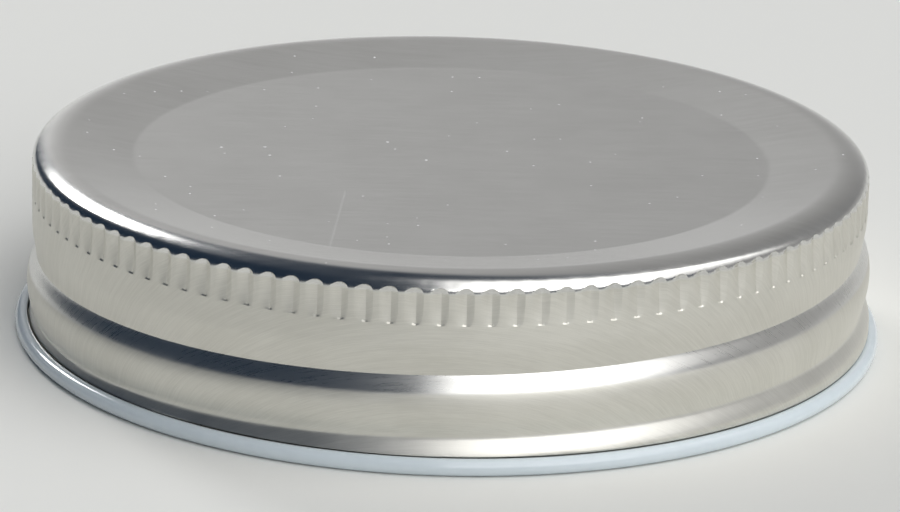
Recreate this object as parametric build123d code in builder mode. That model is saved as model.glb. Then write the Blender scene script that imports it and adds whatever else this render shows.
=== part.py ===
"""Screw-on lid for a 70 mm jar: one pressed and rolled sheet, with a sealing ring flowed into its channel.

Millimetres, +Z up. The origin is the centre of the circle that the lid stands on, so z = 0 is the
underside of the rolled edge. Turns around the lid are in degrees from -Y, its front, and grow towards +X.
"""
from build123d import *
from math import cos, pi, radians, sin, sqrt, tan
import os

# Sheet, and the overall form on its outside
sheet = 0.25
height = 16.1
band_radius = 35.52
corner_radius = 1.05
corner_bend = 60.0
crown_radius = 3.5

# Flat centre panel, and the shallow ramp that rises from it to the crown of the corner
panel_drop = 1.05
ramp_angle = 10.0
ramp_hollow_radius = 2.0

# Lower edge of the skirt, rolled outwards past the band
curl_reach = 1.48
curl_tube = 0.70
curl_end = 112.0
flare_height = 0.75
flare_bend = 0.9

# Grip flutes pressed into the band under the corner
flute_count = 112
flute_turn = -0.9
flute_length = 2.65
flute_depth = 0.17
flute_round = 2.5
flute_run_out = 0.45
flute_land = 0.05

# Thread rolled into the skirt: a groove over a bead, one right-hand start
thread_pitch = 5.08
thread_front_height = 7.95
thread_start = -460.0
groove_start = -235.0
groove_full = -150.0
thread_fade = 100.0
thread_end = 155.0
groove_depth = 0.35
groove_width = 2.2
flank_angle = 26.0
flank_width = 0.9
bead_upper_round = 3.6
bead_lower_round = 6.0
bead_lower_angle = 17.0
lower_turn_growth = 0.29

# Sealing ring in the channel under the ramp and the crown, flat where the jar's rim meets it
seal_panel_gap = 2.8
seal_width = 3.8
seal_drop = 1.25
seal_edge_radius = 0.3

# How the thread is drawn: its root is buried in the wall, each end sinks by the fade, and the bead
# draws in near the rolled edge
section_spacing = 15.0
thread_root = 0.6
thread_fade_depth = 0.65
section_overlap = 0.1
cutter_overlap = 0.2
cutter_reach = 1.0
bead_full_height = 2.3
bead_end_drop = 0.3
bead_end_gap = 0.01

# Worked out from the sizes above
panel_height = height - panel_drop
crown_rise = crown_radius * (1 - sin(radians(corner_bend)))
crown_width = crown_radius * cos(radians(corner_bend))
corner_rise = corner_radius * sin(radians(corner_bend))
corner_width = corner_radius * (1 - cos(radians(corner_bend)))
corner_start = height - crown_rise - corner_rise
crown_centre = (band_radius - corner_width - crown_width, height - crown_radius)
ramp_rise = panel_drop - crown_radius * (1 - cos(radians(ramp_angle)))
ramp_end_radius = crown_centre[0] - crown_radius * sin(radians(ramp_angle))
panel_radius = ramp_end_radius - ramp_rise / tan(radians(ramp_angle))
flute_top = corner_start - flute_land
flute_bottom = flute_top - flute_length
curl_radius = band_radius + curl_reach
curl_centre = curl_radius - curl_tube
skirt_radius = curl_centre - curl_tube + sheet
flare_start = 2 * curl_tube - sheet
groove_radius = band_radius - groove_depth
groove_slope = groove_depth / groove_width
seal_inner_radius = panel_radius + seal_panel_gap
seal_outer_radius = seal_inner_radius + seal_width
seal_height = height - seal_drop


def blend(turn, start, end):
    """Rises smoothly from 0 to 1 while the turn goes from start to end."""
    share = min(max((turn - start) / (end - start), 0.0), 1.0)
    return (1.0 - cos(pi * share)) / 2.0


def stations(start, end):
    """Turns at which a helical section is drawn, evenly spaced from start to end."""
    count = round((end - start) / section_spacing)
    return [start + (end - start) * index / count for index in range(count + 1)]


def section_plane(turn, radius):
    """Radial plane with its origin at the thread's groove: x runs outwards and y runs up."""
    outwards = Vector(0, -1, 0).rotate(Axis.Z, turn)
    sideways = Vector(-1, 0, 0).rotate(Axis.Z, turn)
    level = thread_front_height + thread_pitch * turn / 360.0
    return Plane(origin=outwards * radius + Vector(0, 0, level), x_dir=outwards, z_dir=sideways)


def ramp_end(inset):
    """Point of one face of the sheet where the ramp runs into the crown."""
    lean = radians(90 + ramp_angle)
    reach = crown_radius - inset
    return (crown_centre[0] + reach * cos(lean), crown_centre[1] + reach * sin(lean))


def pressed_blank(inset):
    """Solid inside one face of the sheet before the thread and flutes, down to where the edge rolls."""
    bend = radians(corner_bend)
    ramp = radians(ramp_angle)
    panel_edge = panel_radius + inset * tan(ramp / 2)
    corner_join = (
        band_radius - corner_width - inset * cos(bend),
        corner_start + corner_rise - inset * sin(bend),
    )
    wall_top = (band_radius - inset, corner_start)
    top = [(0, panel_height - inset), (panel_edge, panel_height - inset), ramp_end(inset)]
    wall = [
        wall_top,
        (band_radius - inset, flare_start + flare_height),
        (skirt_radius - inset, flare_start),
        (skirt_radius - inset, curl_tube),
    ]
    with BuildPart() as blank:
        with BuildSketch(Plane.XZ):
            with BuildLine():
                FilletPolyline(top, radius=ramp_hollow_radius + inset)
                TangentArc(top[-1], corner_join, tangent=(cos(ramp), sin(ramp)))
                TangentArc(corner_join, wall_top, tangent=(sin(bend), -cos(bend)))
                FilletPolyline(wall, radius=flare_bend)
                Polyline(wall[-1], (0, curl_tube), top[0])
            make_face()
        revolve(axis=Axis.Z)
    return blank.part


def thread_groove(inset):
    """Helical cut that leans the wall in above the thread's flank, fading out at both ends."""
    top = groove_width + cutter_overlap
    floor = -groove_slope * cutter_overlap
    outer = bead_lower_round * (1 - cos(radians(bead_lower_angle))) + cutter_reach
    with BuildPart() as cut:
        for turn in stations(groove_start, thread_end):
            fade = 1 - blend(turn, groove_start, groove_full) + blend(turn, thread_fade, thread_end)
            with BuildSketch(section_plane(turn, groove_radius - inset + thread_fade_depth * fade)):
                with BuildLine():
                    Polyline(
                        (outer, top),
                        (groove_slope * top, top),
                        (floor, -cutter_overlap),
                        (floor, -flank_width),
                        (outer, -flank_width),
                        close=True,
                    )
                make_face()
        loft()
    return cut.part


def thread_bead(inset):
    """Helical bead below the groove: steep upper flank, round crest and easy lower flank."""
    upper = radians(flank_angle)
    lower = radians(bead_lower_angle)
    flank_top = (-section_overlap * tan(upper), section_overlap)
    flank_end = (flank_width * tan(upper), -flank_width)
    crest = (
        flank_end[0] + bead_upper_round * (1 - cos(upper)),
        flank_end[1] - bead_upper_round * sin(upper),
    )
    lower_start = (
        crest[0] - bead_lower_round * (1 - cos(lower)),
        crest[1] - bead_lower_round * sin(lower),
    )
    foot_level = section_overlap / 2 - thread_pitch
    foot = (lower_start[0] - (lower_start[1] - foot_level) * tan(lower), foot_level)
    with BuildPart() as ridge:
        for turn in stations(thread_start, thread_end):
            growth = lower_turn_growth * (1 - blend(turn, groove_start, groove_full))
            sunk = thread_fade_depth * blend(turn, thread_fade, thread_end)
            with BuildSketch(section_plane(turn, groove_radius - inset + growth - sunk)):
                with BuildLine():
                    Line(flank_top, flank_end)
                    TangentArc(flank_end, crest, tangent=(sin(upper), -cos(upper)))
                    TangentArc(crest, lower_start, tangent=(0, -1))
                    Polyline(lower_start, foot, (-thread_root, foot_level))
                    Polyline((-thread_root, foot_level), (-thread_root, section_overlap), flank_top)
                make_face()
        loft()
        with BuildSketch(Plane.XZ):
            end_radius = skirt_radius - inset - bead_end_gap
            full_radius = groove_radius + crest[0] - inset + section_overlap
            with BuildLine():
                Polyline(
                    (0, flare_start - bead_end_drop),
                    (end_radius, flare_start - bead_end_drop),
                    (end_radius, flare_start),
                    (full_radius, bead_full_height),
                    (full_radius, height),
                    (0, height),
                    close=True,
                )
            make_face()
        revolve(axis=Axis.Z, mode=Mode.INTERSECT)
    return ridge.part


def flute_tooth():
    """Tooth that presses one flute: a round bar whose ends run out, steep below and easy at the corner."""
    core = flute_round - 2 * flute_depth
    with BuildPart() as tooth:
        with BuildSketch(Plane.XZ):
            with BuildLine():
                Polyline(
                    (0, flute_bottom - flute_depth),
                    (core, flute_bottom - flute_depth),
                    (flute_round, flute_bottom + flute_depth),
                    (flute_round, flute_top - flute_run_out),
                    (core, flute_top + flute_run_out),
                    (0, flute_top + flute_run_out),
                    close=True,
                )
            make_face()
        revolve(axis=Axis.Z)
    return tooth.part


def flute_bulge():
    """Bar that one flute raises inside the lid, ending half way along the flute's easy end."""
    with BuildPart() as bar:
        with BuildSketch(Plane.XY.offset(flute_bottom)):
            Circle(flute_round)
        extrude(amount=flute_top - flute_run_out / 2 - flute_bottom)
    return bar.part


def sheet_face(inset, flute):
    """Solid inside one face of the finished sheet: inset 0 is the outside of the lid."""
    with BuildPart() as form:
        add(pressed_blank(inset))
        add(thread_groove(inset), mode=Mode.SUBTRACT)
        add(thread_bead(inset))
        with PolarLocations(band_radius - inset + flute_round - flute_depth, flute_count, flute_turn):
            add(flute, mode=Mode.SUBTRACT)
    return form.part


os.makedirs("parts", exist_ok=True)

# Lid shell: the sheet between its two faces, and the edge rolled outwards into a tube
outside = sheet_face(0.0, flute_tooth())
inside = sheet_face(sheet, flute_bulge())

with BuildPart() as lid_shell:
    add(outside)
    add(inside, mode=Mode.SUBTRACT)
    with BuildSketch(Plane.XZ):
        with BuildLine():
            CenterArc((curl_centre, curl_tube), curl_tube, 180, 180 + curl_end)
            CenterArc((curl_centre, curl_tube), curl_tube - sheet, 180, 180 + curl_end)
            Line((curl_centre - curl_tube, curl_tube), (curl_centre - curl_tube + sheet, curl_tube))
            Line(
                (
                    curl_centre + curl_tube * cos(radians(curl_end)),
                    curl_tube + curl_tube * sin(radians(curl_end)),
                ),
                (
                    curl_centre + (curl_tube - sheet) * cos(radians(curl_end)),
                    curl_tube + (curl_tube - sheet) * sin(radians(curl_end)),
                ),
            )
        make_face()
    revolve(axis=Axis.Z)
lid_shell.part.label = "lid_shell"
export_step(lid_shell.part, "parts/lid_shell.step")

# Sealing ring: compound flowed into the channel, against the underside of the ramp and the crown
ceiling_end = ramp_end(sheet)
ceiling_slope = tan(radians(ramp_angle))
crown_reach = crown_radius - sheet
inner_top = ceiling_end[1] - (ceiling_end[0] - seal_inner_radius) * ceiling_slope
outer_top = crown_centre[1] + sqrt(crown_reach**2 - (seal_outer_radius - crown_centre[0]) ** 2)

with BuildPart() as sealing_ring:
    with BuildSketch(Plane.XZ):
        with BuildLine():
            Polyline(
                (seal_outer_radius, outer_top),
                (seal_outer_radius, seal_height),
                (seal_inner_radius, seal_height),
                (seal_inner_radius, inner_top),
                ceiling_end,
            )
            TangentArc(ceiling_end, (seal_outer_radius, outer_top), tangent=(1, ceiling_slope))
        make_face()
    revolve(axis=Axis.Z)
    fillet(sealing_ring.edges().filter_by(GeomType.CIRCLE).group_by(Axis.Z)[0], seal_edge_radius)
sealing_ring.part.label = "sealing_ring"
export_step(sealing_ring.part, "parts/sealing_ring.step")
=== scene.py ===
from math import asin, cos, degrees, pi, radians, sin, sqrt, tan

import bpy
import numpy as np
from mathutils import Matrix, Vector


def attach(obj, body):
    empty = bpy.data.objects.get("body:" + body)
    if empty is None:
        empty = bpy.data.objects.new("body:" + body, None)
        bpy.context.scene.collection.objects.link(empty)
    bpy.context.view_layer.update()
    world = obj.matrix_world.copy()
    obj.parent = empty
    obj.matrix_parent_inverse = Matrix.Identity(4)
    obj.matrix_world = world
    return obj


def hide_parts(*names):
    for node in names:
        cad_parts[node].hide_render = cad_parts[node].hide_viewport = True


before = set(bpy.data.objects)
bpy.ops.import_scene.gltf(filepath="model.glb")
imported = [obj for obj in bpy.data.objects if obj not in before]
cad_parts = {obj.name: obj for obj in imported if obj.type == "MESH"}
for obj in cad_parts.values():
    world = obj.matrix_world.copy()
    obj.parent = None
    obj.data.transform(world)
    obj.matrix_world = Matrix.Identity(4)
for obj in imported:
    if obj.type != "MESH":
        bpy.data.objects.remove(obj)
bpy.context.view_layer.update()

# Sizes of the lid in millimetres, as in its solids, apart from the flutes' depth and ends and how far the
# rolled edge turns in. Turns are in degrees from -Y, towards +X.
MM = 0.001
sheet = 0.25
height = 16.1
band_radius = 35.52
panel_height = 15.05
corner_radius = 1.05
corner_bend = 60.0
crown_radius = 3.5
ramp_angle = 10.0
ramp_hollow_radius = 2.0
curl_centre = 36.3
curl_tube = 0.70
curl_end = 120.0
curl_clearance = 0.004
skirt_radius = 35.85
skirt_foot = 0.9
flare_start = 1.15
flare_height = 0.75
flare_round = 0.1

# Grip flutes, with a small ledge at their foot and another in their arch
flute_count = 112
flute_turn = -0.9
flute_floor = 12.19
flute_depth = 0.28
foot_drop = 0.22
foot_reach = 0.4
foot_rise = 0.02
foot_run_out = 0.4
arch_drop = 0.9
arch_rim = 0.14
arch_ledge = 0.04
arch_reach = 0.8
arch_gap = 0.03

# Rolled thread, a groove over a bead
pitch = 5.08
thread_front_height = 7.95
thread_start = -460.0
groove_start = -235.0
groove_full = -150.0
thread_fade = 100.0
thread_end = 155.0
groove_radius = 35.17
groove_width = 2.2
flank_angle = radians(26.0)
flank_width = 0.9
bead_upper_round = 3.6
bead_lower_round = 6.0
bead_lower_angle = radians(17.0)
bead_overlap = 0.1
groove_overlap = 0.2
lower_turn_growth = 0.29
fade_depth = 0.65
thread_round = 0.1

# Lip in which the lower turn of the thread ends, over the rolled edge
lip_heights = (1.3, 1.36, 1.45, 1.55)
lip_radii = (skirt_radius, 35.89, 36.07, 36.14)

# Sealing ring
seal_inner_radius = 29.784
seal_outer_radius = 33.584
seal_height = 14.85
seal_edge_radius = 0.3
seal_overlap = 0.03

# Mesh of the wall: its columns, the heights between which its rows follow the thread, and the height at
# which the flutes' part starts. A vertex belongs to a ring, row or column that lies within these reaches.
wall_columns = 448
helix_top = 11.7
helix_bottom = 2.05
band_foot = 11.88
ring_reach = 0.00101
row_reach = 0.001
turn_reach = 0.05
column_reach = 0.01
inside_wall = 35
seam_gap = 0.002
join_gap = 0.01

crown_centre = (
    band_radius - corner_radius * (1 - cos(radians(corner_bend))) - crown_radius * cos(radians(corner_bend)),
    height - crown_radius,
)
corner_start = crown_centre[1] + (crown_radius - corner_radius) * sin(radians(corner_bend))


def on_arc(centre, radius, angle):
    """Point (radius, height) of the section on a bend, at an angle in degrees over the horizontal."""
    return (centre[0] + radius * cos(radians(angle)), centre[1] + radius * sin(radians(angle)))


def arc(centre, radius, start, end, steps):
    """Points of the section round a bend, its first point left out."""
    return [on_arc(centre, radius, start + (end - start) * k / steps) for k in range(1, steps + 1)]


# Mesh work: one selection by place, then one operator
def select(piece, chosen):
    """Selects the vertices of a piece for which chosen(radius, turn, z) holds, all in millimetres."""
    bpy.ops.object.mode_set(mode="OBJECT")
    mesh = piece.data
    places = np.empty(len(mesh.vertices) * 3)
    mesh.vertices.foreach_get("co", places)
    x, y, z = places.reshape(-1, 3).T / MM
    picked = chosen(np.hypot(x, y), np.degrees(np.arctan2(x, -y)), z)
    mesh.polygons.foreach_set("select", np.zeros(len(mesh.polygons), bool))
    mesh.vertices.foreach_set("select", picked)
    ends = np.empty(len(mesh.edges) * 2, int)
    mesh.edges.foreach_get("vertices", ends)
    mesh.edges.foreach_set("select", picked[ends].reshape(-1, 2).all(1))
    bpy.ops.object.mode_set(mode="EDIT")


def turn_selected(turn):
    """Turns what is selected about the lid's axis, in degrees towards +X at the front."""
    bpy.ops.transform.rotate(value=-radians(turn), orient_axis="Z", center_override=(0, 0, 0))


def section(name, points):
    """A line of edges through points (radius, height), standing at the front of the lid."""
    bpy.ops.object.select_all(action="DESELECT")
    bpy.ops.mesh.primitive_plane_add(size=1 * MM, location=(0, 0, 0))
    piece = bpy.context.active_object
    piece.name = piece.data.name = name
    bpy.ops.object.mode_set(mode="EDIT")
    bpy.ops.mesh.select_mode(type="VERT")
    bpy.ops.mesh.select_all(action="SELECT")
    bpy.ops.mesh.merge(type="CENTER")
    bpy.ops.transform.translate(value=(0, -points[0][0] * MM, points[0][1] * MM))
    for (r0, z0), (r1, z1) in zip(points, points[1:]):
        step = {"value": (0, (r0 - r1) * MM, (z1 - z0) * MM)}
        bpy.ops.mesh.extrude_vertices_move(TRANSFORM_OT_translate=step)
    bpy.ops.object.mode_set(mode="OBJECT")
    return piece


def turned(piece, angle, steps, rise=0):
    """Turns the section about the axis, climbing by rise millimetres, and closes the seam."""
    lathe = piece.modifiers.new("lathe", "SCREW")
    lathe.axis = "Z"
    lathe.angle = radians(angle)
    lathe.screw_offset = rise * MM
    lathe.steps = lathe.render_steps = steps
    lathe.use_smooth_shade = True
    bpy.ops.object.modifier_apply(modifier="lathe")
    weld(piece, seam_gap)


def weld(piece, distance):
    """Merges the vertices of a piece that lie within a distance in millimetres."""
    bpy.ops.object.mode_set(mode="EDIT")
    bpy.ops.mesh.select_all(action="SELECT")
    bpy.ops.mesh.remove_doubles(threshold=distance * MM)
    bpy.ops.object.mode_set(mode="OBJECT")


bpy.ops.object.select_all(action="DESELECT")

# Columns of one flute: their place across it, how deep the sheet is pressed in there, and how high over the
# corner's start the flute ends, in a round arch. Its right flank is the steeper one.
flute_columns = [
    (-0.86, 0, 0), (-0.72, 0.025, 0.16), (-0.46, 0.115, 0.35), (-0.16, 0.22, 0.46), (0.12, flute_depth, 0.48),
    (0.32, 0.22, 0.44), (0.56, 0.08, 0.30), (0.72, 0, 0),
]


def band_section(depth, arch):
    """Outside of the top where a flute is pressed in by a depth: band, corner, crown, ramp and panel.

    The flute runs straight up to its arch, and ends in a small ledge at both ends."""
    floor = band_radius - depth
    corner = (band_radius - corner_radius, corner_start)
    bend = degrees(asin((arch + arch_gap) / corner_radius))
    run_out = foot_run_out * (1 - depth / flute_depth)
    points = [(band_radius, band_foot), (band_radius, flute_floor - foot_drop * depth)]
    points += [(band_radius - foot_reach * depth, flute_floor + foot_rise + run_out)]
    points += [(floor, corner_start - arch_drop), (floor, corner_start + arch - arch_rim)]
    points += [(band_radius - arch_reach * depth, corner_start + arch - arch_ledge)]
    points += [on_arc(corner, corner_radius, bend)] + arc(corner, corner_radius, bend, corner_bend, 5)
    points += arc(crown_centre, crown_radius, corner_bend, 90, 4)
    points += arc(crown_centre, crown_radius, 90, 90 + ramp_angle, 2)
    slope = tan(radians(ramp_angle))
    ramp_top = points[-1]
    hollow_angle = 270 + ramp_angle
    drop = panel_height + ramp_hollow_radius * (1 - cos(radians(ramp_angle)))
    ramp_foot = (ramp_top[0] - (ramp_top[1] - drop) / slope, drop)
    inset = 0.2
    points += [(ramp_top[0] - inset, ramp_top[1] - inset * slope)]
    points += [(ramp_foot[0] + inset, ramp_foot[1] + inset * slope), ramp_foot]
    hollow = (ramp_foot[0] - ramp_hollow_radius * sin(radians(ramp_angle)), panel_height + ramp_hollow_radius)
    points += arc(hollow, ramp_hollow_radius, hollow_angle, 270, 3)
    return points


# One flute of the top, its columns moved to their places, and then all the flutes
plain = band_section(0, 0)
flute_step = 360 / flute_count
lid = section("pressed_lid", plain)
turned(lid, flute_step, len(flute_columns))
first = flute_columns[0][0]
last = first + radians(flute_step) * band_radius
for column, (across, depth, arch) in enumerate(flute_columns + [(last, 0, 0)]):
    here = column * flute_step / len(flute_columns)
    for old, new in reversed(list(zip(plain, band_section(depth, arch)))):
        if old != new:
            select(lid, lambda r, t, z: (abs(t - here) < turn_reach)
                   & (abs(r - old[0]) + abs(z - old[1]) < row_reach))
            bpy.ops.transform.resize(value=(new[0] / old[0], new[0] / old[0], 1), center_override=(0, 0, 0))
            bpy.ops.transform.translate(value=(0, 0, (new[1] - old[1]) * MM))
    select(lid, lambda r, t, z: abs(t - here) < turn_reach)
    turn_selected(degrees((across - first) / band_radius) - here)
bpy.ops.mesh.select_all(action="SELECT")
turn_selected(flute_turn + degrees(first / band_radius))
bpy.ops.mesh.spin(steps=flute_count - 1, dupli=True, angle=radians(360 - flute_step), center=(0, 0, 0),
                  axis=(0, 0, 1))
weld(lid, seam_gap)

# Rolled edge: the skirt goes on down, to be flared later, and turns outwards into a tube
under = [(band_radius, z) for z in (helix_bottom, 1.9, 1.75, 1.62, 1.52, 1.45, 1.36, 1.08)]
under += [(skirt_radius, skirt_foot), (skirt_radius, curl_tube)]
under += arc((curl_centre, curl_tube), curl_tube - sheet - curl_clearance, 180, 360 + curl_end, 18)
curl = section("rolled_edge", under)
turned(curl, 360, wall_columns)

# Threaded wall, its rows along the thread and closest together over the upper flank
flank_rows = [0, 0.12, 0.3, 0.55, 0.88, 1.2, 1.5, 1.85, 2.25, 2.7, 3.15, 3.6, 4.0, 4.35, 4.65, 4.87]
levels = sorted(thread_front_height - pitch * lap - row for lap in (-2, -1, 0, 1, 2) for row in flank_rows)
wall = section("threaded_wall", [(band_radius, z) for z in levels])
turned(wall, 360, wall_columns, pitch)
for level, side in ((helix_top, 1), (helix_bottom, -1)):
    bpy.ops.object.mode_set(mode="EDIT")
    bpy.ops.mesh.select_all(action="SELECT")
    bpy.ops.mesh.bisect(plane_co=(0, 0, level * MM), plane_no=(0, 0, side), clear_outer=True,
                        threshold=0.001 * MM)
    select(wall, lambda r, t, z: (abs(z - level) < ring_reach)
           & (abs((t / 360 * wall_columns + 0.5) % 1 - 0.5) > column_reach))
    bpy.ops.mesh.dissolve_verts()
    bpy.ops.object.mode_set(mode="OBJECT")

# The three become one sheet
bpy.ops.object.select_all(action="DESELECT")
for piece in (wall, curl, lid):
    piece.select_set(True)
bpy.context.view_layer.objects.active = lid
bpy.ops.object.join()
select(lid, lambda r, t, z: (r > inside_wall) & (abs(z - helix_top) < ring_reach))
bpy.ops.mesh.subdivide(number_cuts=1)
select(lid, lambda r, t, z: (r > inside_wall)
       & ((abs(z - helix_top) < ring_reach) | (abs(z - band_foot) < ring_reach)))
bpy.ops.mesh.bridge_edge_loops()
weld(lid, join_gap)
panel_edge = plain[-1][0]
select(lid, lambda r, t, z: (abs(r - panel_edge) < 0.02) & (z > panel_height - 0.05))
bpy.ops.mesh.edge_face_add()
bpy.ops.mesh.select_all(action="SELECT")
bpy.ops.mesh.normals_make_consistent(inside=False)
bpy.ops.object.mode_set(mode="OBJECT")


def ease(turn, start, end):
    """Rises smoothly from 0 to 1 while the turn goes from start to end."""
    share = np.clip((turn - start) / (end - start), 0, 1)
    return (1 - np.cos(pi * share)) / 2


# Section of the bead: steep upper flank, round crest and easy lower flank
flank_out = flank_width * tan(flank_angle)
crest_drop = flank_width + bead_upper_round * sin(flank_angle)
crest_out = flank_out + bead_upper_round * (1 - cos(flank_angle))
lower_drop = crest_drop + bead_lower_round * sin(bead_lower_angle)
lower_out = crest_out - bead_lower_round * (1 - cos(bead_lower_angle))


def bead(rise):
    """How far the bead stands out of the groove's floor, at a rise over the groove's crease."""
    below = -rise - crest_drop
    round_upper = crest_out - bead_upper_round + np.sqrt(np.clip(bead_upper_round ** 2 - below ** 2, 0, None))
    round_lower = crest_out - bead_lower_round + np.sqrt(np.clip(bead_lower_round ** 2 - below ** 2, 0, None))
    foot = lower_out - (-rise - lower_drop) * tan(bead_lower_angle)
    out = np.where(-rise < flank_width, -rise * tan(flank_angle), round_upper)
    out = np.where(-rise > crest_drop, round_lower, out)
    return np.where(-rise > lower_drop, foot, out)


def threaded(turn, z, wall):
    """Radius of the skirt's outside with its thread."""
    groove = wall.copy()
    ridge = np.full(len(wall), -np.inf)
    azimuth = np.where(turn > thread_end, turn - 360, turn)
    for lap in (0, -360):
        at = azimuth + lap
        rise = z - thread_front_height - pitch * at / 360
        fade = 1 - ease(at, groove_start, groove_full) + ease(at, thread_fade, thread_end)
        slope = (band_radius - groove_radius) / groove_width
        cut = groove_radius + fade_depth * fade + slope * np.clip(rise, -groove_overlap, None)
        groove = np.where((rise > -flank_width) & (at > groove_start), np.minimum(groove, cut), groove)
        growth = lower_turn_growth * (1 - ease(at, groove_start, groove_full))
        sunk = fade_depth * ease(at, thread_fade, thread_end)
        here = (rise < bead_overlap) & (rise > bead_overlap / 2 - pitch) & (at > thread_start)
        ridge = np.where(here, np.maximum(ridge, groove_radius + growth - sunk + bead(rise)), ridge)
    return np.maximum(groove, ridge)


def relief(mesh):
    """How far each vertex of the plain skirt is pressed in or rolled out, in millimetres.

    The skirt flares over the rolled edge, and the lower turn of the thread ends in a lip over it."""
    places = np.empty(len(mesh.vertices) * 3)
    mesh.vertices.foreach_get("co", places)
    x, y, z = places.reshape(-1, 3).T / MM
    radius, turn = np.hypot(x, y), np.degrees(np.arctan2(x, -y))
    skirt = (z > curl_tube + 0.3) & (z < helix_top + 0.01) & (radius < skirt_radius - 0.1)
    flare = np.interp(z, (flare_start + flare_round, flare_start + flare_height), (skirt_radius, band_radius))
    lip = np.interp(z, lip_heights, lip_radii)
    steps = [threaded(turn, z + k * thread_round, flare) for k in (-1, 0, 0, 1)]
    return np.where(skirt, np.minimum(sum(steps) / len(steps), lip) - radius, 0)


# Each vertex's depth becomes its weight in one of two groups, which two modifiers press in and roll out
depths = relief(lid.data)
for name, sign in (("pressed_in", -1), ("rolled_out", 1)):
    group = lid.vertex_groups.new(name=name)
    most = max(depths * sign)
    for index in np.flatnonzero(depths * sign > 1e-4):
        group.add([int(index)], float(depths[index] * sign / most), "REPLACE")
    press = lid.modifiers.new(name, "DISPLACE")
    press.direction = "NORMAL"
    press.mid_level = 0
    press.strength = sign * most * MM
    press.vertex_group = name
for name in ("pressed_in", "rolled_out"):
    bpy.ops.object.modifier_apply(modifier=name)

# The sheet's thickness goes inwards: tinplate outside, enamel inside, and the cut edge on the rim
gauge = lid.modifiers.new("gauge", "SOLIDIFY")
gauge.thickness = sheet * MM
gauge.offset = -1
gauge.use_even_offset = True
gauge.use_quality_normals = True
gauge.material_offset = 1
gauge.material_offset_rim = 2
for slot in range(3):
    lid.data.materials.append(None)
bpy.ops.object.modifier_apply(modifier="gauge")
bpy.ops.object.shade_smooth_by_angle(angle=radians(19))

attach(lid, "root")
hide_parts("lid_shell")

# Sealing ring: flowed compound with round lower edges, its top let a little into the sheet over it
ceiling = crown_radius - sheet + seal_overlap
ramp_under = on_arc(crown_centre, ceiling, 90 + ramp_angle)
inner_drop = (ramp_under[0] - seal_inner_radius) * tan(radians(ramp_angle))
inner_top = (seal_inner_radius, ramp_under[1] - inner_drop)
outer_rise = sqrt(ceiling ** 2 - (seal_outer_radius - crown_centre[0]) ** 2)
inner_round = (seal_inner_radius + seal_edge_radius, seal_height + seal_edge_radius)
outer_round = (seal_outer_radius - seal_edge_radius, seal_height + seal_edge_radius)
around = [inner_top, (seal_inner_radius, inner_round[1])] + arc(inner_round, seal_edge_radius, 180, 270, 5)
around += [(outer_round[0], seal_height)] + arc(outer_round, seal_edge_radius, 270, 360, 5)
around += [(seal_outer_radius, crown_centre[1] + outer_rise), (crown_centre[0], crown_centre[1] + ceiling)]
around += [ramp_under, inner_top]
ring = section("flowed_compound", around)
turned(ring, 360, wall_columns)
bpy.ops.object.mode_set(mode="EDIT")
bpy.ops.mesh.normals_make_consistent(inside=False)
bpy.ops.object.mode_set(mode="OBJECT")
bpy.ops.object.shade_smooth_by_angle(angle=radians(30))
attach(ring, "root")
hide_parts("sealing_ring")


class Value:
    """A socket in a node tree; sums on it add Math nodes."""

    def __init__(self, finish, socket):
        self.finish, self.socket = finish, socket

    def sum(self, operation, *terms):
        return self.finish.node("Math", {"operation": operation}, dict(enumerate(terms)))

    def __add__(self, other):
        return self.sum("ADD", self, other)

    def __radd__(self, other):
        return self.sum("ADD", other, self)

    def __sub__(self, other):
        return self.sum("SUBTRACT", self, other)

    def __rsub__(self, other):
        return self.sum("SUBTRACT", other, self)

    def __mul__(self, other):
        return self.sum("MULTIPLY", self, other)

    def __rmul__(self, other):
        return self.sum("MULTIPLY", other, self)

    def __truediv__(self, other):
        return self.sum("DIVIDE", self, other)

    def __pow__(self, other):
        return self.sum("POWER", self, other)


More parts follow.
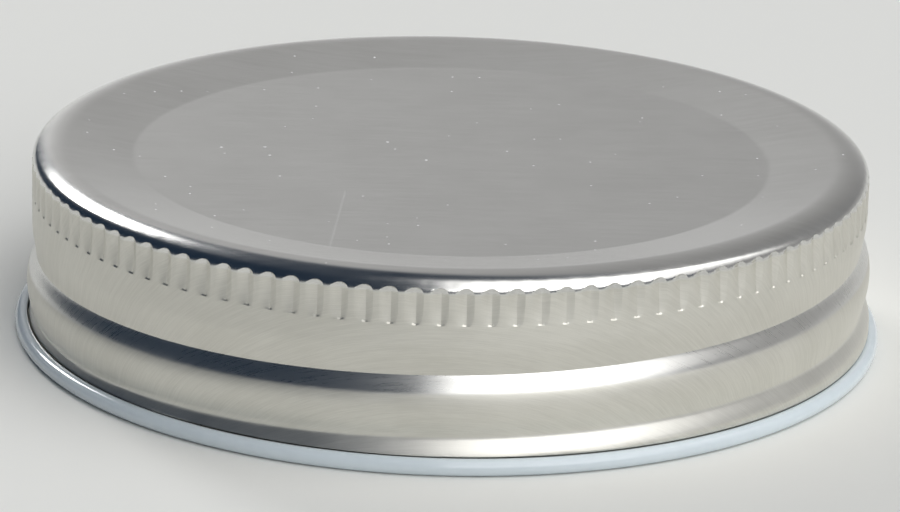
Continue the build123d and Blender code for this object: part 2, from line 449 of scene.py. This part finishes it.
class Finish:
    """The nodes of one material, or of the world."""

    def __init__(self, owner):
        owner.use_nodes = True
        self.owner, self.tree = owner, owner.node_tree
        self.tree.nodes.clear()

    def node(self, kind, settings=None, sockets=None, out=0):
        """Adds a node, its settings first and then its sockets, and returns one of its outputs."""
        made = self.tree.nodes.new("ShaderNode" + kind)
        for name, value in (settings or {}).items():
            setattr(made, name, value)
        for name, value in (sockets or {}).items():
            if isinstance(value, Value):
                self.tree.links.new(value.socket, made.inputs[name])
            else:
                made.inputs[name].default_value = value
        return Value(self, made.outputs[out]) if len(made.outputs) else made

    def place(self):
        return self.node("TexCoord", out=3)

    def parts(self, vector):
        """The three parts of a vector."""
        split = self.node("SeparateXYZ", None, {0: vector}).socket.node
        return [Value(self, split.outputs[axis]) for axis in range(3)]

    def combined(self, x, y, z):
        return self.node("CombineXYZ", None, {0: x, 1: y, 2: z})

    def vector(self, operation, a, b, out=0):
        return self.node("VectorMath", {"operation": operation}, {0: a, 1: b}, out)

    def blend(self, share, a, b):
        return self.node("Mix", {"data_type": "RGBA"}, {0: share, 6: a, 7: b}, out=2)

    def noise(self, place, scale, detail=2.0, roughness=0.5):
        return self.node("TexNoise", None, {"Vector": place, "Scale": scale, "Detail": detail,
                                            "Roughness": roughness})

    def steps(self, value, low, high, to_low=0.0, to_high=1.0):
        """Value mapped from low..high to to_low..to_high, smoothly and held at both ends."""
        return self.node("MapRange", {"interpolation_type": "SMOOTHSTEP"},
                         {0: value, 1: low, 2: high, 3: to_low, 4: to_high})

    def mark(self, place, start, end, half_width):
        """1 on a mark between two points in millimetres, 0 off it."""
        start, end = Vector(start) * MM, Vector(end) * MM
        along = end - start
        offset = self.vector("SUBTRACT", place, tuple(start))
        share = self.held(self.vector("DOT_PRODUCT", offset, tuple(along / along.length_squared), out=1))
        nearest = self.node("VectorMath", {"operation": "SCALE"}, {0: tuple(along), 3: share})
        away = self.vector("DISTANCE", offset, nearest, out=1)
        return self.steps(away, half_width * 0.5 * MM, half_width * MM, 1.0, 0.0)

    def held(self, value):
        """The value held between 0 and 1."""
        return self.node("Clamp", None, {0: value})

    def surface(self, sockets):
        """The finished surface, with one shader."""
        shader = self.node("BsdfPrincipled", None, sockets)
        return self.node("OutputMaterial", None, {"Surface": shader})


def material(name):
    return Finish(bpy.data.materials.new(name))


# Radius of the wall where most marks on it lie
wall_radius = 35.4


def on_wall(turn, z, radius=wall_radius):
    """Point of the skirt at a turn and a height, in millimetres."""
    return (radius * sin(radians(turn)), -radius * cos(radians(turn)), z)


# Bright tinplate: rolling lines run straight across the flat blank, so they bend over the corner with it
tin = material("bright_tinplate")
place = tin.place()
x, y, z = tin.parts(place)
radius = (x * x + y * y) ** 0.5
run = radius + (height * MM - z)
along, over_lines = x / radius * run, y / radius * run
fine = tin.noise(tin.combined(along * 400, over_lines * 12000, 0), 1.0, 3.0, 0.6)
broad = tin.noise(tin.combined(along * 90, over_lines * 2600, 0), 1.0, 3.0, 0.6)
lines = fine * 0.6 + broad * 0.4
haze = tin.noise(place, 160.0, 4.0)
grain = tin.noise(place, 7000.0, 2.0)

# The wall is rubbed dull; the top, its corner and the upper flanks of the thread kept their shine. The wall's
# warmer tone is a painted reflection of the warm-lit floor, and the shining parts keep a neutral tone.
rolled = tin.steps(z, 14.6 * MM, 14.9 * MM)
turn = tin.node("Math", {"operation": "ARCTAN2"}, {0: x, 1: 0.0 - y})
# Laps are whole numbers along the thread's crease, and the flank that shines lies right under it
laps = (z / MM - thread_front_height) / pitch - turn / (2 * pi)
lap_share = tin.node("Math", {"operation": "FRACT"}, {0: laps})
flank = tin.steps(lap_share, 0.69, 0.77)
flank = flank * tin.steps(laps, 0.0, 0.02, 1.0, 0.0) * tin.steps(laps, -1.0, -0.6, 0.35, 0.9)
shine_and_painted_tone_share = tin.held(rolled + flank)
dull_roughness = 0.47
rub = dull_roughness - shine_and_painted_tone_share * 0.23 - rolled * 0.05
wear = tin.steps(lines * 0.7 + haze * 0.3, 0.36, 0.64)
# Warmer tone on the wall: painted reflection of the warm-lit floor, laid over the wear's random tone
wall_tone_with_painted_floor_warmth = tin.blend(wear, (0.68, 0.665, 0.605, 1), (0.775, 0.76, 0.70, 1))
bright = tin.blend(wear, (0.675, 0.67, 0.65, 1), (0.745, 0.74, 0.72, 1))
tone = tin.blend(shine_and_painted_tone_share, wall_tone_with_painted_floor_warmth, bright)

# Dust and a long scratch on the panel, fine specks over the top, and four dark marks on the wall
dust_places = [(-5.5, 3.6), (-19.6, 0.8), (-15.9, 1.2), (-15.4, -1.1), (-2.1, -1.3)]
dust = 0.0
for x_mm, y_mm in dust_places:
    dust = dust + tin.mark(place, (x_mm - 0.02, y_mm, panel_height), (x_mm + 0.02, y_mm, panel_height), 0.16)
dust = dust + tin.mark(place, (-8.7, -10.6, panel_height), (-9.5, -25.4, panel_height), 0.12) * 0.12
flat = {"voronoi_dimensions": "2D"}
speck = tin.node("TexVoronoi", flat, {"Vector": place, "Scale": 420.0})
chance = tin.parts(tin.node("TexVoronoi", flat, {"Vector": place, "Scale": 420.0}, out=1))[0]
speck = tin.steps(speck, 0.02, 0.06, 1.0, 0.0) * tin.steps(chance, 0.8, 1.0)
on_top = tin.steps(z, 15.0 * MM, 15.02 * MM)
before_corner = tin.steps(radius, 33.5 * MM, 34.0 * MM, 1.0, 0.0)
dust = dust + speck * on_top * before_corner
grime = tin.mark(place, on_wall(36.0, 10.45), on_wall(36.1, 10.75), 0.1)
grime = grime + tin.mark(place, on_wall(5.05, 12.1, 35.3), on_wall(5.05, 14.6, 35.3), 0.05) * 0.45
grime = grime + tin.mark(place, on_wall(-19.0, 2.1, 35.6), on_wall(-18.3, 1.95, 35.6), 0.07)
grime = grime + tin.mark(place, on_wall(-32.9, 1.2, 35.9), on_wall(-32.7, 1.35, 35.9), 0.09)
tone = tin.blend(tin.held(grime), tone, (0.1, 0.1, 0.09, 1))
tone = tin.blend(tin.held(dust), tone, (0.95, 0.95, 0.95, 1))

bump = tin.node("Bump", None, {"Strength": 0.8, "Distance": 0.006 * MM,
                               "Height": (lines * 0.5 + grain) * (1.15 - shine_and_painted_tone_share)})
tin.surface({"Base Color": tone, "Metallic": tin.held(1.0 - dust),
             "Roughness": rub + wear * 0.05, "Normal": bump})

# Pale gloss enamel, inside the lid and on the outside of the rolled edge
enamel = material("pale_enamel")
place = enamel.place()
mottle = enamel.noise(place, 900.0)
shade = enamel.blend(mottle, (0.61, 0.685, 0.73, 1), (0.67, 0.74, 0.785, 1))
enamel.surface({"Base Color": shade, "Roughness": enamel.steps(mottle, 0.3, 0.7, 0.12, 0.2),
                "Coat Weight": 0.3})

# Bare cut edge of the sheet, in the gap of the rolled edge
edge = material("cut_edge")
place = edge.place()
grain = edge.noise(place, 4000.0)
edge.surface({"Base Color": edge.blend(grain, (0.2, 0.2, 0.2, 1), (0.4, 0.39, 0.38, 1)), "Metallic": 1.0,
              "Roughness": edge.steps(grain, 0.3, 0.7, 0.3, 0.5)})

# Satin sealing compound
compound = material("sealing_compound")
place = compound.place()
flow = compound.noise(place, 600.0)
compound.surface({"Base Color": compound.blend(flow, (0.80, 0.78, 0.72, 1), (0.86, 0.84, 0.79, 1)),
                  "Roughness": compound.steps(flow, 0.3, 0.7, 0.35, 0.5)})

for index, finish in enumerate((tin, enamel, edge)):
    lid.data.materials[index] = finish.owner
ring.data.materials.append(compound.owner)

# Floor
bpy.ops.mesh.primitive_plane_add(size=4)
floor = bpy.context.active_object
floor.name = "floor"
pale = material("pale_floor")
place = pale.place()
sweep = pale.blend(pale.noise(place, 6.0), (0.80, 0.80, 0.77, 1), (0.825, 0.825, 0.795, 1))
pale.surface({"Base Color": sweep, "Roughness": 0.8})
floor.data.materials.append(pale.owner)

# Light: a pale room behind, a large softbox at the right that reaches overhead, a window behind at the
# left, and dark between them
world = bpy.data.worlds.new("studio")
bpy.context.scene.world = world
room = Finish(world)
way = room.node("TexCoord", out=0)
right, back, up = room.parts(way)
room_share = room.steps(right + back, 0.58, 0.70)
dark_level = 0.05
room_level = room.steps(right, -0.5, 0.5, 0.58, 0.22) + room.steps(up, 0.0, 0.25, 0.2, 0.0)
light = room_share * room_level + dark_level
softbox = room.steps(right, -0.05, 0.05) * room.steps(right, 0.6, 0.97, 1.0, 0.0)
softbox = softbox * room.steps(back, 0.24, 0.32, 1.0, 0.0) * room.steps(up, 0.18, 0.32)
softbox_level = room.steps(up, 0.25, 0.75, 3.6, 2.0)
window_way = (-0.4065, 0.7317, 0.5488)
window_level = 14.0
window = room.vector("DOT_PRODUCT", way, window_way, out=1)
window = room.steps(window, cos(radians(9)), cos(radians(5)))
light = light + softbox * softbox_level + window * window_level
tint = room.blend(room.steps(light, dark_level, 0.3), (0.28, 0.55, 1.0, 1), (1.0, 1.0, 1.0, 1))
sky = room.node("Background", None, {"Color": tint, "Strength": light})
room.node("OutputWorld", None, {"Surface": sky})

# Camera, fitted to the photo: it stands back from the lid's foot by its distance in metres, looks down by its
# elevation, and is then turned a little by its yaw, nod and roll, all in degrees
picture_width_px = 900
lens_px = 4681.8
distance = 0.40316
elevation = radians(19.274)
yaw = -0.019
nod = 0.822
roll = 1.575
sensor_width = 36
away = Vector((0, -cos(elevation), sin(elevation)))
base = Matrix(((1, 0, 0), (0, sin(elevation), -cos(elevation)), (0, cos(elevation), sin(elevation))))
aim = (base @ Matrix.Rotation(radians(yaw), 3, "Y") @ Matrix.Rotation(radians(nod), 3, "X")
       @ Matrix.Rotation(radians(roll), 3, "Z"))
camera = bpy.data.objects.new("camera", bpy.data.cameras.new("camera"))
bpy.context.collection.objects.link(camera)
camera.data.sensor_width = sensor_width
camera.data.lens = lens_px * sensor_width / picture_width_px
camera.data.clip_start, camera.data.clip_end = 0.01, 20
camera.matrix_world = Matrix.Translation(away * distance) @ aim.to_4x4()
bpy.context.scene.camera = camera
bpy.context.scene.view_settings.view_transform = "Standard"
